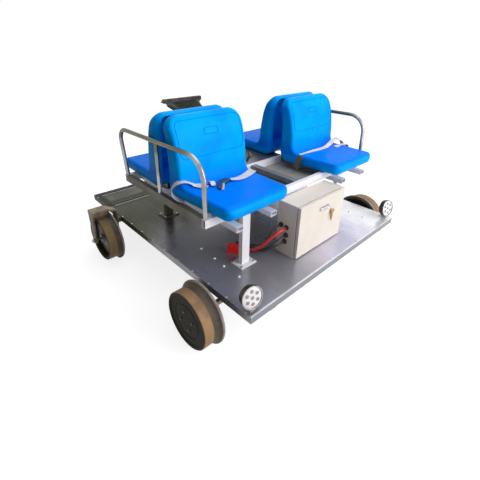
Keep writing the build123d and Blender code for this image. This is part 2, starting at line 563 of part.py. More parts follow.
# Connectors as (middle of the cable face, way that it points, length, width, height)
CONNECTORS = {
    "red_connector": ((430, -366), (-0.8, -0.6), 66, 30, 46),
    "black_connector": ((467, -300), (-0.95, -0.312), 58, 30, 30),
    "small_connector": ((382, -306), (-0.735, -0.678), 34, 18, 18),
}


def bend_radii(points):
    """Arc at each inner point: 0.45 of the shorter run over the tangent of half the turn."""
    radii = []
    for a, b, c in zip(points, points[1:], points[2:]):
        run_in = Vector(*b) - Vector(*a)
        run_out = Vector(*c) - Vector(*b)
        half_turn = radians(run_in.get_angle(run_out)) / 2
        radii.append(0.45 * min(run_in.length, run_out.length) / tan(half_turn))
    return radii


for name, (diameter, route) in CABLES.items():
    points = [(x, y, above(h)) for x, y, h in route]
    radii = bend_radii(points)
    path = FilletPolyline(*points, radius=radii)
    cable = sweep(Plane(origin=path @ 0, z_dir=path % 0) * Circle(diameter / 2), path=path)
    expected = path.length * pi * diameter ** 2 / 4
    print(name, "length", round(path.length), "radii", [round(r) for r in radii],
          "volume ratio", round(cable.volume / expected, 4))
    save(name, cable)

for name, ((x, y), way, length, width, height) in CONNECTORS.items():
    plane = Plane(origin=(x, y, DECK_TOP), x_dir=(*way, 0), z_dir=(0, 0, 1))
    block = plane * Pos(length / 2, 0, height / 2) * Box(length, width, height)
    save(name, block)
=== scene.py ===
"""Looks of the electric rail trolley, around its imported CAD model. Metres, in the CAD frame.

+X is forward, to the cabinet and the lamps, +Y is left, +Z is up. The floor is at z = 0.
"""
import json
from math import cos, radians, sin

import bpy
import numpy as np
from mathutils import Matrix, Vector


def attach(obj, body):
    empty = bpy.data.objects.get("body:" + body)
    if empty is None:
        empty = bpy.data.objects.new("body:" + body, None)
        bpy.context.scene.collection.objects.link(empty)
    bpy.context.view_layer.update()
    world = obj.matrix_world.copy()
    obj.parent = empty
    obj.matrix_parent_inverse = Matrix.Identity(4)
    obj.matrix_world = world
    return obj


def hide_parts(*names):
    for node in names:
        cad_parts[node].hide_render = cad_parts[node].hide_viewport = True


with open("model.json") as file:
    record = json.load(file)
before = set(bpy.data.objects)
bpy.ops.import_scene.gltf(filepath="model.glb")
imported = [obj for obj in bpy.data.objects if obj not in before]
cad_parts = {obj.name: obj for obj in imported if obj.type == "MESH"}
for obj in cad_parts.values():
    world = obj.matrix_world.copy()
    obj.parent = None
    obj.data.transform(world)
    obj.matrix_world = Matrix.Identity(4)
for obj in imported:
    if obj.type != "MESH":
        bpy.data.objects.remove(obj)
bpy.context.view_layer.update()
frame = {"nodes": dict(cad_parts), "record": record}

MM = 0.001
DECK_TOP = 0.278

# Places in millimetres that several pieces share

FRONT_AXLE_X = 536
REAR_AXLE_X = -394
AXLE_HIGH = 160
LAMP_Y = 615
SIDES = (-1, 1)
SIDE_NAMES = ((-1, "right"), (1, "left"))


def at(x, y, above_deck):
    """A point in metres from millimetres, with its height counted from the deck's top."""
    return (x * MM, y * MM, DECK_TOP + above_deck * MM)


def add_object(name, data):
    """An object in the scene for the data."""
    made = bpy.data.objects.new(name, data)
    bpy.context.scene.collection.objects.link(made)
    return made


# Camera at the photograph's place. Angles are in degrees, and the focal length and the optical axis in pixels
# of a square image.

CAMERA_YAW = 136.2
CAMERA_PITCH = 25.9
CAMERA_ROLL = 1.1
CAMERA_PLACE = (1.504, -1.401, 1.308)
FOCAL_PIXELS = 335.1
AXIS_PIXEL_Y = 201.5
IMAGE_SIDE = 480
SENSOR_SIDE = 36
VIEW_END = 100


def add_camera():
    """Camera with its axes from yaw, pitch and roll, and a square sensor."""
    yaw, pitch, roll = (radians(a) for a in (CAMERA_YAW, CAMERA_PITCH, CAMERA_ROLL))
    look = Vector((cos(pitch) * cos(yaw), cos(pitch) * sin(yaw), -sin(pitch)))
    level = Vector((sin(yaw), -cos(yaw), 0))
    upright = level.cross(look)
    right = cos(roll) * level + sin(roll) * upright
    up = cos(roll) * upright - sin(roll) * level
    turn = Matrix((right, up, -look)).transposed().to_4x4()
    data = bpy.data.cameras.new("photo_camera")
    data.sensor_width = SENSOR_SIDE
    data.lens = FOCAL_PIXELS / IMAGE_SIDE * SENSOR_SIDE
    data.shift_y = (AXIS_PIXEL_Y - IMAGE_SIDE / 2) / IMAGE_SIDE
    data.clip_end = VIEW_END
    camera = add_object("photo_camera", data)
    camera.matrix_world = Matrix.Translation(CAMERA_PLACE) @ turn
    bpy.context.scene.camera = camera


def add_panel_light(name, place, target, width, height, watts):
    """Soft white rectangular light that faces its target."""
    data = bpy.data.lights.new(name, "AREA")
    data.shape = "RECTANGLE"
    data.size = width
    data.size_y = height
    data.energy = watts
    light = add_object(name, data)
    light.location = place
    way = Vector(target) - Vector(place)
    light.rotation_euler = way.to_track_quat("-Z", "Y").to_euler()


# Node trees

def connect(tree, socket, value):
    """Joins another node's output to a socket, or sets the socket to a plain value."""
    if isinstance(value, bpy.types.NodeSocket):
        tree.links.new(value, socket)
    else:
        socket.default_value = value


def add_node(tree, kind, values=None, **settings):
    """A node with its settings, whose inputs are set to numbers or joined to sockets."""
    made = tree.nodes.new(kind)
    for name, value in settings.items():
        setattr(made, name, value)
    for name, value in (values or {}).items():
        connect(tree, made.inputs[name], value)
    return made


def math(tree, operation, first, second=0.0, clamp=False):
    """Output of a math node."""
    made = add_node(tree, "ShaderNodeMath", {0: first, 1: second}, operation=operation, use_clamp=clamp)
    return made.outputs[0]


def times(tree, first, second):
    """Product of two values."""
    return math(tree, "MULTIPLY", first, second)


def distance(tree, value, middle=0.0):
    """How far a value is from a middle, either way."""
    return math(tree, "ABSOLUTE", math(tree, "SUBTRACT", value, middle))


def ramp(tree, value, low, high, start=0.0, end=1.0):
    """Value carried smoothly from low..high to start..end, and held beyond them."""
    made = add_node(tree, "ShaderNodeMapRange",
                    {"Value": value, "From Min": low, "From Max": high, "To Min": start, "To Max": end},
                    interpolation_type="SMOOTHSTEP")
    return made.outputs[0]


def colour(red, green, blue):
    """Opaque colour."""
    return (red, green, blue, 1.0)


def mix(tree, amount, first, second):
    """Colour mixed from first to second by amount."""
    made = add_node(tree, "ShaderNodeMix", {0: amount, 6: first, 7: second}, data_type="RGBA")
    return made.outputs[2]


def noise(tree, vector, scale, detail=3.0, rough=0.5):
    """Value of a noise at a vector."""
    made = add_node(tree, "ShaderNodeTexNoise",
                    {"Vector": vector, "Scale": scale, "Detail": detail, "Roughness": rough})
    return made.outputs[0]


def stretched(tree, vector, scale):
    """Vector whose three axes are scaled each by its own number."""
    return add_node(tree, "ShaderNodeMapping", {"Vector": vector, "Scale": scale}).outputs[0]


def object_axes(tree):
    """Object coordinates, whole and as their three axes."""
    place = add_node(tree, "ShaderNodeTexCoord").outputs["Object"]
    return place, add_node(tree, "ShaderNodeSeparateXYZ", {0: place}).outputs


WEAR_INPUTS = ("Blotch Scale", "Grain Scale", "Round", "Texture")


def wear_group():
    """Masks that the finishes share, from Object coordinates.

    Blotch: slow stains. Grain: fine speckle. Edge: 1 at convex corners.
    Normal: corners rounded by Round, with a fine bump of strength Texture.
    """
    tree = bpy.data.node_groups.new("worn_surface", "ShaderNodeTree")
    for name in WEAR_INPUTS:
        tree.interface.new_socket(name, in_out="INPUT", socket_type="NodeSocketFloat")
    for name in ("Blotch", "Grain", "Edge"):
        tree.interface.new_socket(name, in_out="OUTPUT", socket_type="NodeSocketFloat")
    tree.interface.new_socket("Normal", in_out="OUTPUT", socket_type="NodeSocketVector")
    given = add_node(tree, "NodeGroupInput").outputs
    place = add_node(tree, "ShaderNodeTexCoord").outputs["Object"]
    blotch = ramp(tree, noise(tree, place, given["Blotch Scale"], 5.0, 0.6), 0.38, 0.66)
    grain = noise(tree, place, given["Grain Scale"], 2.0)
    rounded = add_node(tree, "ShaderNodeBevel", {"Radius": given["Round"]}, samples=4).outputs[0]
    flat = add_node(tree, "ShaderNodeNewGeometry").outputs["Normal"]
    along = add_node(tree, "ShaderNodeVectorMath", {0: rounded, 1: flat}, operation="DOT_PRODUCT")
    edge = ramp(tree, along.outputs["Value"], 0.995, 0.86)
    bump = add_node(tree, "ShaderNodeBump", {"Strength": given["Texture"], "Distance": 0.001,
                                             "Height": grain, "Normal": rounded})
    put = add_node(tree, "NodeGroupOutput")
    for name, socket in (("Blotch", blotch), ("Grain", grain), ("Edge", edge), ("Normal", bump.outputs[0])):
        tree.links.new(socket, put.inputs[name])
    return tree


WEAR = wear_group()


def new_material(name):
    """An empty node material with its Principled shader; returns (material, tree, shader)."""
    material = bpy.data.materials.new(name)
    material.use_nodes = True
    tree = material.node_tree
    return material, tree, tree.nodes["Principled BSDF"]


def wear(tree, blotch_scale=6.0, grain_scale=300.0, rounding=0.0015, texture=0.1):
    """Outputs of the shared masks, for two noise scales, the corners' radius and the bump's strength."""
    values = dict(zip(WEAR_INPUTS, (blotch_scale, grain_scale, rounding, texture)))
    return add_node(tree, "ShaderNodeGroup", values, node_tree=WEAR).outputs


def stained(tree, masks, base, stain):
    """Base colour that turns to the stain's in the slow blotches."""
    return mix(tree, masks["Blotch"], colour(*base), colour(*stain))


def with_edges(tree, masks, amount, under, tone):
    """Colour whose convex corners turn to a tone by amount."""
    return mix(tree, times(tree, masks["Edge"], amount), under, colour(*tone))


def feed(tree, shader, **sockets):
    """Joins or sets the shader's inputs by name, with underscores for spaces."""
    for name, value in sockets.items():
        connect(tree, shader.inputs[name.replace("_", " ")], value)


def finish_material(name, base, stain, edge, metallic=0.0, rough=0.45, spread=0.15, rounding=0.0015,
                    texture=0.1, blotch_scale=6.0, grain_scale=300.0, edge_amount=0.5):
    """A worn finish: base stained by slow blotches and fine grain, with its corners in the edge's colour."""
    material, tree, shader = new_material(name)
    masks = wear(tree, blotch_scale, grain_scale, rounding, texture)
    toned = stained(tree, masks, base, stain)
    speckled = mix(tree, times(tree, masks["Grain"], 0.35), toned, colour(*stain))
    worn = with_edges(tree, masks, edge_amount, speckled, edge)
    roughness = ramp(tree, masks["Blotch"], 0.0, 1.0, rough, rough + spread)
    feed(tree, shader, Base_Color=worn, Roughness=roughness, Metallic=metallic, Normal=masks["Normal"])
    return material


# Lines of the deck sheet in metres; each pair is where a mask starts and where it is full. A dark groove and
# a seam run ahead of the rear strip, a dark frame runs beside and behind it, and the front edge has a painted
# highlight along its fold and painted shade on its skirt.

GROOVE_X = -0.555
GROOVE_HALF = (0.0125, 0.0105)
SEAM_X = -0.517
SEAM_HALF = (0.0050, 0.0035)
FRAME_SIDE = (0.612, 0.617)
FRAME_REAR = (-0.744, -0.748)
FRAME_FRONT = (-0.543, -0.547)
SKIRT_AHEAD = (0.7965, 0.7985)
SKIRT_BELOW = (0.2770, 0.2755)
FOLD_AHEAD = (0.7900, 0.7935)
FOLD_ABOVE = (0.2765, 0.2778)


def deck_material():
    """Plated sheet, mid grey in front. Its pale lavender and near white at the front left are a painted
    reflection, and it turns dark olive grey to the rear, partly its own tone and partly painted shade.

    It is cloudy, with long faint drawing marks along X and dark lines round its rear strip. A bright line
    along its front edge's fold is a painted highlight, and the darker skirt below that is painted shade.
    """
    material, tree, shader = new_material("deck_sheet")
    masks = wear(tree, 3.0, 500.0, 0.001, 0.03)
    place, axes = object_axes(tree)
    wander = times(tree, math(tree, "SUBTRACT", noise(tree, place, 2.2, 4.0), 0.5), 0.5)
    # Darker olive grey to the rear: partly the sheet's tone, partly painted shade.
    forward = ramp(tree, math(tree, "ADD", axes["X"], wander), -0.35, 0.45)
    base = mix(tree, forward, colour(0.068, 0.070, 0.038), colour(0.33, 0.33, 0.365))
    # Painted reflection: pale lavender towards the front left, near white at its outer front corner.
    leftward = math(tree, "ADD", times(tree, axes["X"], 0.55), axes["Y"])
    pale = ramp(tree, math(tree, "ADD", leftward, times(tree, wander, 0.3)), 0.07, 0.54)
    bright = mix(tree, pale, base, colour(0.76, 0.73, 0.88))
    outer = times(tree, ramp(tree, axes["Y"], 0.30, 0.50), ramp(tree, axes["X"], 0.25, 0.55))
    bright = mix(tree, outer, bright, colour(0.97, 0.97, 0.98))
    clouded = mix(tree, times(tree, masks["Blotch"], 0.30), bright, colour(0.15, 0.155, 0.16))
    marks = noise(tree, stretched(tree, place, (0.7, 60.0, 1.0)), 2.0, 2.0)
    marked = mix(tree, ramp(tree, marks, 0.45, 0.8, 0.0, 0.10), clouded, colour(0.40, 0.40, 0.43))
    groove = ramp(tree, distance(tree, axes["X"], GROOVE_X), *GROOVE_HALF)
    seam = ramp(tree, distance(tree, axes["X"], SEAM_X), *SEAM_HALF, 0.0, 0.6)
    beside = ramp(tree, distance(tree, axes["Y"]), *FRAME_SIDE)
    behind = ramp(tree, axes["X"], *FRAME_REAR)
    around = times(tree, math(tree, "MAXIMUM", beside, behind), ramp(tree, axes["X"], *FRAME_FRONT))
    dark = math(tree, "MAXIMUM", math(tree, "MAXIMUM", groove, seam), times(tree, around, 0.75))
    lined = mix(tree, dark, marked, colour(0.024, 0.025, 0.028))
    # Painted shade on the front skirt, and a painted highlight along the fold above it.
    skirt_shade = times(tree, ramp(tree, axes["X"], *SKIRT_AHEAD), ramp(tree, axes["Z"], *SKIRT_BELOW))
    skirt_shaded = mix(tree, skirt_shade, lined, colour(0.20, 0.21, 0.235))
    fold = times(tree, ramp(tree, axes["X"], *FOLD_AHEAD), ramp(tree, axes["Z"], *FOLD_ABOVE))
    fold_highlighted = mix(tree, times(tree, fold, 0.8), skirt_shaded, colour(0.92, 0.92, 0.96))
    worn = with_edges(tree, masks, 0.5, fold_highlighted, (0.6, 0.6, 0.6))
    roughness = ramp(tree, masks["Blotch"], 0.0, 1.0, 0.26, 0.36)
    feed(tree, shader, Base_Color=worn, Roughness=roughness, Metallic=0.5, Normal=masks["Normal"],
         Specular_IOR_Level=ramp(tree, forward, 0.0, 0.8, 0.0, 0.5))
    return material


# Zones of the other finishes, in metres. Each pair is where the zone's mask starts and where it is full.

# Where the rails' painted dark reflection lies, on the top run behind the front bend
DARK_REFLECTION_ABOVE = (0.80, 0.835)
DARK_REFLECTION_BEHIND = (0.46, 0.38)
TYRE_FROM = (0.1385, 0.1400)
RIM_FROM = (0.1540, 0.1575)
TREAD_FROM = (0.744, 0.749)
LAMP_FOOT_TOP = (0.2905, 0.2915)
HANGER_TOP = (0.300, 0.352)
PANEL_AHEAD = (-0.5575, -0.5560)
PANEL_SIDE = (0.100, 0.097)
# Where the seat's painted light lies, up its back and round its lip
BACK_PAINTED_LIGHT = (0.67, 0.775)
LIP_PAINTED_LIGHT = (0.676, 0.660)


def rail_material():
    """Bright steel tube; the dark olive on the top run behind its front bend is a painted reflection."""
    material, tree, shader = new_material("rail_steel")
    masks = wear(tree, texture=0.04)
    axes = object_axes(tree)[1]
    # Painted reflection: dark olive on the top run behind the front bend.
    dark_reflection_place = times(tree, ramp(tree, axes["Z"], *DARK_REFLECTION_ABOVE), ramp(tree, axes["X"], *DARK_REFLECTION_BEHIND))
    steel = stained(tree, masks, (0.46, 0.46, 0.45), (0.27, 0.265, 0.24))
    dark_reflection = stained(tree, masks, (0.17, 0.155, 0.115), (0.12, 0.11, 0.08))
    dark_reflected = mix(tree, dark_reflection_place, steel, dark_reflection)
    feed(tree, shader, Base_Color=dark_reflected, Roughness=0.2, Metallic=0.85, Normal=masks["Normal"])
    return material


def wheel_material(name, axle_x, fresh_rust, old_rust):
    """Cast wheel: rusty tread, dark fillet, pale worn flange rim and a dark painted dish.

    The radius is the distance from the axle's line, and the side the distance from the track's middle.
    """
    material, tree, shader = new_material(name)
    masks = wear(tree, 14.0, 420.0, texture=0.35)
    axes = object_axes(tree)[1]
    along = math(tree, "SUBTRACT", axes["X"], axle_x * MM)
    rise = math(tree, "SUBTRACT", axes["Z"], AXLE_HIGH * MM)
    flat = add_node(tree, "ShaderNodeCombineXYZ", {0: along, 1: rise}).outputs[0]
    radius = add_node(tree, "ShaderNodeVectorMath", {0: flat}, operation="LENGTH").outputs["Value"]
    ragged = times(tree, math(tree, "SUBTRACT", masks["Grain"], 0.5), 0.008)
    side = math(tree, "ADD", distance(tree, axes["Y"]), ragged)
    dish = stained(tree, masks, (0.006, 0.006, 0.003), (0.018, 0.014, 0.007))
    tread = stained(tree, masks, fresh_rust, old_rust)
    fillet = stained(tree, masks, (0.085, 0.070, 0.055), (0.13, 0.105, 0.085))
    rim = stained(tree, masks, (0.46, 0.42, 0.39), (0.30, 0.26, 0.23))
    on_tyre = ramp(tree, radius, *TYRE_FROM)
    dust = mix(tree, on_tyre, colour(0.020, 0.014, 0.008), colour(0.09, 0.06, 0.035))
    band = mix(tree, ramp(tree, side, *TREAD_FROM), fillet, tread)
    rimmed = mix(tree, ramp(tree, radius, *RIM_FROM), band, rim)
    whole = mix(tree, on_tyre, dish, rimmed)
    speckled = mix(tree, times(tree, masks["Grain"], 0.4), whole, dust)
    worn = with_edges(tree, masks, 0.35, speckled, (0.34, 0.29, 0.25))
    roughness = ramp(tree, on_tyre, 0.0, 1.0, 0.70, 0.62)
    feed(tree, shader, Base_Color=worn, Roughness=roughness, Metallic=0.2, Normal=masks["Normal"],
         Specular_IOR_Level=0.2)
    return material


def lamp_material():
    """Black lamp body, cast over a bright zinc foot."""
    material, tree, shader = new_material("lamp_case")
    masks = wear(tree, 12.0, 500.0, 0.0008)
    axes = object_axes(tree)[1]
    body = stained(tree, masks, (0.022, 0.022, 0.018), (0.04, 0.04, 0.034))
    foot = stained(tree, masks, (0.66, 0.66, 0.68), (0.46, 0.46, 0.47))
    whole = mix(tree, ramp(tree, axes["Z"], *LAMP_FOOT_TOP), foot, body)
    worn = with_edges(tree, masks, 0.4, whole, (0.3, 0.3, 0.3))
    feed(tree, shader, Base_Color=worn, Roughness=0.36, Metallic=0.3, Normal=masks["Normal"])
    return material


def hanger_material():
    """Hanger paint: worn tan on the top plate, and dark olive down its legs."""
    material, tree, shader = new_material("hanger_paint")
    masks = wear(tree, 18.0, 420.0, texture=0.2)
    axes = object_axes(tree)[1]
    olive = stained(tree, masks, (0.160, 0.150, 0.090), (0.12, 0.085, 0.045))
    tan = stained(tree, masks, (0.36, 0.30, 0.20), (0.22, 0.17, 0.105))
    whole = mix(tree, ramp(tree, axes["Z"], *HANGER_TOP), olive, tan)
    worn = with_edges(tree, masks, 0.5, whole, (0.42, 0.37, 0.28))
    feed(tree, shader, Base_Color=worn, Roughness=0.5, Normal=masks["Normal"], Specular_IOR_Level=0.3)
    return material


def console_material():
    """Console: olive grey bar and flared sides, round a black sloping panel. Its edges are paler."""
    material, tree, shader = new_material("console_black")
    masks = wear(tree, 14.0, 500.0, 0.0012)
    axes = object_axes(tree)[1]
    between = ramp(tree, distance(tree, axes["Y"]), *PANEL_SIDE)
    on_panel = times(tree, ramp(tree, axes["X"], *PANEL_AHEAD), between)
    grey = stained(tree, masks, (0.095, 0.092, 0.075), (0.055, 0.055, 0.045))
    black = stained(tree, masks, (0.012, 0.012, 0.012), (0.025, 0.025, 0.022))
    worn = with_edges(tree, masks, 0.8, mix(tree, on_panel, grey, black), (0.24, 0.24, 0.225))
    feed(tree, shader, Base_Color=worn, Roughness=0.45, Normal=masks["Normal"], Specular_IOR_Level=0.08)
    return material


def jacket_material(name, base, dust):
    """Cable jacket: soft sheen with a faint ripple and a little dust."""
    return finish_material(name, base, dust, dust, rough=0.34, spread=0.14, rounding=0.0005, texture=0.06,
                           blotch_scale=30.0, grain_scale=900.0, edge_amount=0.1)


def seat_material():
    """Blue moulded seat: fine pebble grain, deeper blue on the pad; the lighter blue up the back and round
    the lip is painted light.
    """
    material, tree, shader = new_material("seat_blue")
    masks = wear(tree, 5.0, 700.0, 0.002)
    axes = object_axes(tree)[1]
    # Painted light: lighter blue up the back and round the lip.
    painted_light_blue = colour(0.0, 0.375, 0.95)
    base = mix(tree, ramp(tree, axes["Z"], *BACK_PAINTED_LIGHT), colour(0.0, 0.205, 0.93), painted_light_blue)
    base = mix(tree, ramp(tree, axes["Z"], *LIP_PAINTED_LIGHT, 0.0, 0.8), base, painted_light_blue)
    toned = mix(tree, times(tree, masks["Blotch"], 0.4), base, colour(0.0, 0.18, 0.88))
    roughness = ramp(tree, masks["Blotch"], 0.0, 1.0, 0.28, 0.36)
    feed(tree, shader, Base_Color=toned, Roughness=roughness, Normal=masks["Normal"], Specular_IOR_Level=0.02)
    return material


def webbing_material(name, base, shade):
    """Woven strap: ribs across its length from its own UV, fuzzy, and darker between the ribs."""
    material, tree, shader = new_material(name)
    masks = wear(tree, 20.0, 900.0, 0.0004)
    woven = add_node(tree, "ShaderNodeUVMap", uv_map="cloth").outputs[0]
    ribs = add_node(tree, "ShaderNodeTexWave", {"Vector": woven, "Scale": 110.0, "Distortion": 1.5,
                                                "Detail": 1.0}, bands_direction="X").outputs["Fac"]
    toned = mix(tree, times(tree, masks["Blotch"], 0.5), colour(*base), colour(*shade))
    ribbed = mix(tree, ramp(tree, ribs, 0.0, 0.6, 0.35, 0.0), toned, colour(*shade))
    bump = add_node(tree, "ShaderNodeBump", {"Strength": 0.4, "Distance": 0.0006, "Height": ribs,
                                             "Normal": masks["Normal"]}).outputs[0]
    feed(tree, shader, Base_Color=ribbed, Roughness=0.75, Normal=bump, Sheen_Weight=0.25)
    return material


PLAIN_FINISHES = (
    # name, base, stain, edge, settings that aren't the usual ones
    ("olive_sheet", (0.105, 0.105, 0.075), (0.080, 0.083, 0.058), (0.22, 0.22, 0.18),
     dict(metallic=0.3, rough=0.42)),
    ("tray_sheet", (0.38, 0.375, 0.32), (0.28, 0.275, 0.225), (0.4, 0.4, 0.36),
     dict(metallic=0.1, rough=0.36)),
    ("lid_sheet", (0.165, 0.172, 0.155), (0.13, 0.137, 0.12), (0.5, 0.5, 0.5),
     dict(metallic=0.6, rough=0.26)),
    ("dark_frame", (0.07, 0.07, 0.068), (0.10, 0.09, 0.075), (0.2, 0.19, 0.17),
     dict(metallic=0.1, rough=0.5)),
    ("frame_tube", (0.86, 0.85, 0.90), (0.76, 0.75, 0.76), (0.92, 0.92, 0.94), dict(rough=0.38)),
    # The next two are the pale frame tube paint darkened by painted shade, olive and grey.
    ("frame_tube_shaded_olive", (0.115, 0.105, 0.075), (0.085, 0.075, 0.045), (0.34, 0.34, 0.32),
     dict(metallic=0.2, rough=0.40)),
    ("frame_tube_shaded_grey", (0.22, 0.225, 0.225), (0.16, 0.16, 0.155), (0.45, 0.45, 0.45),
     dict(metallic=0.2, rough=0.36)),
    ("axle_steel", (0.20, 0.18, 0.16), (0.24, 0.14, 0.08), (0.4, 0.38, 0.36), dict(metallic=0.6, rough=0.42)),
    ("motor_case", (0.022, 0.026, 0.020), (0.045, 0.042, 0.030), (0.16, 0.15, 0.13),
     dict(metallic=0.2, rough=0.38)),
    ("rusty_steel", (0.26, 0.165, 0.09), (0.16, 0.10, 0.055), (0.34, 0.25, 0.16),
     dict(rough=0.6, blotch_scale=18.0)),
    ("slide_black", (0.028, 0.028, 0.028), (0.05, 0.05, 0.048), (0.3, 0.3, 0.3),
     dict(metallic=0.3, rough=0.36)),
    ("cabinet_paint", (0.745, 0.685, 0.60), (0.70, 0.635, 0.55), (0.79, 0.76, 0.71),
     dict(rough=0.42, spread=0.08, texture=0.12, grain_scale=650.0)),
    ("lock_chrome", (0.62, 0.62, 0.66), (0.5, 0.5, 0.52), (0.8, 0.8, 0.82),
     dict(metallic=0.9, rough=0.16, spread=0.06)),
    ("gland_plastic", (0.018, 0.018, 0.018), (0.03, 0.03, 0.028), (0.07, 0.07, 0.07), dict(rough=0.42)),
    ("lamp_lens", (0.86, 0.82, 0.82), (0.78, 0.74, 0.74), (0.9, 0.88, 0.88),
     dict(rough=0.14, spread=0.05, texture=0.02)),
    ("lamp_bezel", (0.62, 0.55, 0.52), (0.42, 0.36, 0.33), (0.8, 0.78, 0.76), dict(metallic=0.4, rough=0.25)),
    ("lamp_reflector", (0.30, 0.30, 0.315), (0.22, 0.22, 0.23), (0.6, 0.6, 0.6),
     dict(metallic=0.3, rough=0.22, spread=0.05)),
    ("red_housing", (0.88, 0.010, 0.010), (0.74, 0.012, 0.012), (0.9, 0.10, 0.08),
     dict(rough=0.38, spread=0.1, rounding=0.002)),
    ("bolt_zinc", (0.62, 0.62, 0.64), (0.42, 0.41, 0.38), (0.8, 0.8, 0.8),
     dict(metallic=0.7, rough=0.28, rounding=0.0006)),
    # Near white that paints the screw heads' highlights
    ("bolt_painted_highlight", (0.88, 0.88, 0.90), (0.75, 0.75, 0.76), (0.95, 0.95, 0.95),
     dict(metallic=0.3, rough=0.22, rounding=0.0006)),
    ("screw_dark", (0.05, 0.05, 0.055), (0.08, 0.075, 0.07), (0.25, 0.25, 0.25),
     dict(metallic=0.5, rough=0.4, rounding=0.0004)),
    ("key_brass", (0.55, 0.36, 0.12), (0.40, 0.25, 0.08), (0.75, 0.58, 0.3),
     dict(metallic=0.8, rough=0.28, rounding=0.0004)),
    ("buckle_blue_black", (0.010, 0.030, 0.075), (0.02, 0.04, 0.06), (0.10, 0.13, 0.16),
     dict(rough=0.24, spread=0.1, rounding=0.001)),
    ("latch_olive", (0.075, 0.078, 0.045), (0.05, 0.05, 0.03), (0.4, 0.4, 0.34),
     dict(rough=0.35, rounding=0.001)),
)
MATERIALS = {name: finish_material(name, base, stain, edge, **settings)
             for name, base, stain, edge, settings in PLAIN_FINISHES}
MATERIALS["deck_sheet"] = deck_material()
MATERIALS["rail_steel"] = rail_material()
MATERIALS["lamp_case"] = lamp_material()
MATERIALS["hanger_paint"] = hanger_material()
MATERIALS["console_black"] = console_material()
MATERIALS["seat_vinyl"] = seat_material()
for name, axle_x, fresh_rust, old_rust in (
        ("front_wheel_rust", FRONT_AXLE_X, (0.40, 0.235, 0.115), (0.27, 0.165, 0.09)),
        ("rear_wheel_rust", REAR_AXLE_X, (0.27, 0.185, 0.085), (0.18, 0.13, 0.07))):
    MATERIALS[name] = wheel_material(name, axle_x, fresh_rust, old_rust)
for name, base, dust in (("red_jacket", (0.70, 0.012, 0.012), (0.55, 0.03, 0.025)),
                         ("black_jacket", (0.020, 0.020, 0.021), (0.05, 0.05, 0.048))):
    MATERIALS[name] = jacket_material(name, base, dust)
for name, base, shade in (("pale_webbing", (0.70, 0.64, 0.64), (0.50, 0.44, 0.40)),
                          ("olive_webbing", (0.13, 0.13, 0.075), (0.08, 0.08, 0.045))):
    MATERIALS[name] = webbing_material(name, base, shade)

# Nodes that don't wear their slot's own finish. The side rails, rear posts and inner rails wear the frame
# paint darkened by painted shade.

NODE_FINISH = {"front_bay_tray": "tray_sheet", "rear_bay_lid": "lid_sheet",
               "frame_side_rails": "frame_tube_shaded_olive", "rear_posts": "frame_tube_shaded_olive",
               "frame_inner_rails": "frame_tube_shaded_grey"}
for end in ("front", "rear"):
    for side_name in ("left", "right"):
        NODE_FINISH[f"{end}_wheel_{side_name}"] = f"{end}_wheel_rust"
for part in frame["record"]["subparts"]:
    chosen = MATERIALS[NODE_FINISH.get(part["node"], part["material_slot"])]
    for material_slot in frame["nodes"][part["node"]].material_slots:
        material_slot.material = chosen


# Shapes for the added pieces: each is (points in millimetres, faces), and its formula is in its docstring

def grid_faces(rows, columns, close_rows=False):
    """Quads between neighbouring rows and columns of a grid of points. The columns close on themselves."""
    last = rows if close_rows else rows - 1
    row = np.arange(last)[:, None]
    column = np.arange(columns)[None, :]
    beside = (column + 1) % columns
    below = (row + 1) % rows
    quads = np.stack([row * columns + column, row * columns + beside, below * columns + beside,
                      below * columns + column], axis=-1)
    return quads.reshape(-1, 4).tolist()


def capped(points):
    """Shape from a grid of points (rows, columns, 3), with a flat face over its first and last row."""
    rows, columns = points.shape[:2]
    faces = grid_faces(rows, columns)
    faces.append(list(range(columns))[::-1])
    faces.append(list(range((rows - 1) * columns, rows * columns)))
    return points.reshape(-1, 3), faces


def round_z(outline, sides, turn=0.0):
    """Points of an outline of (radius, height) carried round Z: (r cos a, r sin a, h) for every angle a."""
    radius, height = np.array(outline, dtype=float).T[:, :, None]
    angle = np.radians(turn) + 2 * np.pi * np.arange(sides)[None, :] / sides
    return np.stack([radius * np.cos(angle), radius * np.sin(angle), height + 0 * angle], axis=-1)


def turned(outline, sides, turn=0.0):
    """Outline of (radius, height) carried round Z, with a flat face over each end."""
    return capped(round_z(outline, sides, turn))


def turned_ring(outline, sides):
    """Closed outline of (radius, height) carried round Z, so that it closes both ways."""
    return round_z(outline, sides).reshape(-1, 3), grid_faces(len(outline), sides, close_rows=True)


def plate(outline, thickness, edge=0.4):
    """Flat plate whose outline of (x, y) turns anticlockwise, with its two rims drawn in by edge."""
    flat = np.array(outline, dtype=float)
    middle = flat.mean(axis=0)
    drawn_in = middle + (flat - middle) * (1 - edge / np.abs(flat - middle).max())
    levels = ((drawn_in, 0.0), (flat, edge), (flat, thickness - edge), (drawn_in, thickness))
    points = np.stack([np.column_stack([line, np.full(len(line), height)]) for line, height in levels])
    return capped(points)


def smooth_rows(stations, steps):
    """Rows on the Catmull-Rom line through the stations, with steps rows to each gap.

    Each value is half of (2b + (c-a)u + (2a-5b+4c-d)u2 + (3b-a-3c+d)u3) for neighbours a, b, c and d.
    """
    rows = np.array(stations, dtype=float)
    padded = np.vstack([2 * rows[0] - rows[1], rows, 2 * rows[-1] - rows[-2]])
    place = np.linspace(0, len(rows) - 1, steps * (len(rows) - 1) + 1)
    gap = np.minimum(place.astype(int), len(rows) - 2)
    u = (place - gap)[:, None]
    a, b, c, d = (padded[gap + k] for k in range(4))
    return 0.5 * (2 * b + (c - a) * u + (2 * a - 5 * b + 4 * c - d) * u ** 2
                  + (3 * b - a - 3 * c + d) * u ** 3)


def unit(vectors):
    """Vectors of length 1 with the same ways."""
    return vectors / np.linalg.norm(vectors, axis=-1, keepdims=True)


